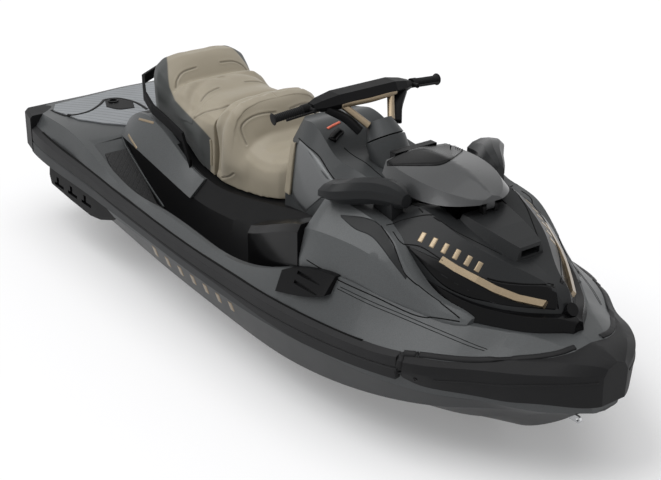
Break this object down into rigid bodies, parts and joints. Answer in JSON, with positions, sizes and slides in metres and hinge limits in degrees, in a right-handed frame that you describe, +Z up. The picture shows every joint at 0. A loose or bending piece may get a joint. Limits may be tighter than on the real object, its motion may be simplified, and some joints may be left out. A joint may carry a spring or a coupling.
{
  "type": "personal watercraft",
  "caption": "Three-seat touring personal watercraft with handlebar steering, jet pump, reverse bucket, stepped seat, hinged front storage lid and boarding ladder.",
  "frame": {"origin": "on the centre line at the still waterline, half way along the moulded hull", "axes": "+X forward to the bow, +Y to port, +Z up"},
  "size_m": [3.4493, 1.2578, 1.1122],
  "materials": {
    "hull_gelcoat": "gloss metallic grey",
    "deck_gelcoat": "gloss metallic grey",
    "satin_black": "satin moulded black",
    "satin_grey": "satin moulded grey",
    "hood_charcoal": "satin charcoal",
    "gloss_black": "gloss black",
    "bumper_black": "matt black",
    "rail_rubber": "matt dark grey",
    "mat_rubber": "ribbed matt black",
    "deck_foam": "matt light grey foam",
    "seat_vinyl": "soft tan marine vinyl",
    "champagne": "satin champagne metallic",
    "cast_metal": "cast",
    "pump_metal": "satin anodised",
    "stainless": "brushed",
    "mirror_glass": "polished"
  },
  "bodies": {
    "craft": {"accents": "champagne", "bow_bumper": "bumper_black", "bow_eye": "stainless", "column_base": "satin_grey", "console": "satin_grey", "deck": "deck_gelcoat", "deck_mat": "deck_foam", "deck_sockets": "bumper_black", "engine": "cast_metal", "fairings": "deck_gelcoat", "footwell_mats": "mat_rubber", "grab_rail": "satin_black", "hood": "hood_charcoal", "hull": "hull_gelcoat", "intake_grate": "pump_metal", "knee_pads": "seat_vinyl", "ladder_bracket": "stainless", "lid_hinge": "satin_black", "mirror_glass": "mirror_glass", "mirrors": "gloss_black", "nose_band": "gloss_black", "nose_disc": "gloss_black", "pedestal": "satin_black", "pump_housing": "pump_metal", "rear_panels": "deck_gelcoat", "ride_plate": "pump_metal", "rub_rail": "rail_rubber", "seat_front": "seat_vinyl", "seat_rear": "seat_vinyl", "shin_pods": "satin_black", "side_vents": "gloss_black", "sponsons": "satin_black", "stern_bumper": "bumper_black", "stern_eyes": "stainless"},
    "steering": {"steering_column": "satin_grey", "handlebar": "satin_black", "bar_pad": "satin_black", "grips": "mat_rubber", "levers": "satin_black", "bar_trims": "champagne"},
    "lid": {"storage_lid": "hood_charcoal", "gauge": "gloss_black"},
    "impeller_shaft": {"impeller": "stainless", "drive_shaft": "stainless"},
    "nozzle": {"steering_nozzle": "pump_metal"},
    "bucket": {"reverse_bucket": "pump_metal"},
    "ladder": {"boarding_ladder": "stainless"}
  },
  "joints": [
    {"name": "handlebar_turn", "type": "hinge", "parent": "craft", "child": "steering", "pos_m": [0.47, 0, 0.668], "axis": [-0.5299, 0, 0.848], "range_deg": [-22, 22]},
    {"name": "nozzle_turn", "type": "hinge", "parent": "craft", "child": "nozzle", "pos_m": [-1.601, 0, -0.092], "axis": [0, 0, 1], "range_deg": [-22, 22]},
    {"name": "impeller_spin", "type": "hinge", "parent": "craft", "child": "impeller_shaft", "pos_m": [-1.45, 0, -0.092], "axis": [1, 0, 0], "continuous": true},
    {"name": "bucket_swing", "type": "hinge", "parent": "craft", "child": "bucket", "pos_m": [-1.562, 0, -0.092], "axis": [0, -1, 0], "range_deg": [0, 72]},
    {"name": "lid_lift", "type": "hinge", "parent": "craft", "child": "lid", "pos_m": [1.052, 0, 0.623], "axis": [0, 1, 0], "range_deg": [0, 55]},
    {"name": "ladder_swing", "type": "hinge", "parent": "craft", "child": "ladder", "pos_m": [-1.71275, 0.27, 0.113], "axis": [0, -1, 0], "range_deg": [0, 170]}
  ],
  "couplings": [
    {"joint": "nozzle_turn", "follows": "handlebar_turn", "ratio": -1}
  ]
}
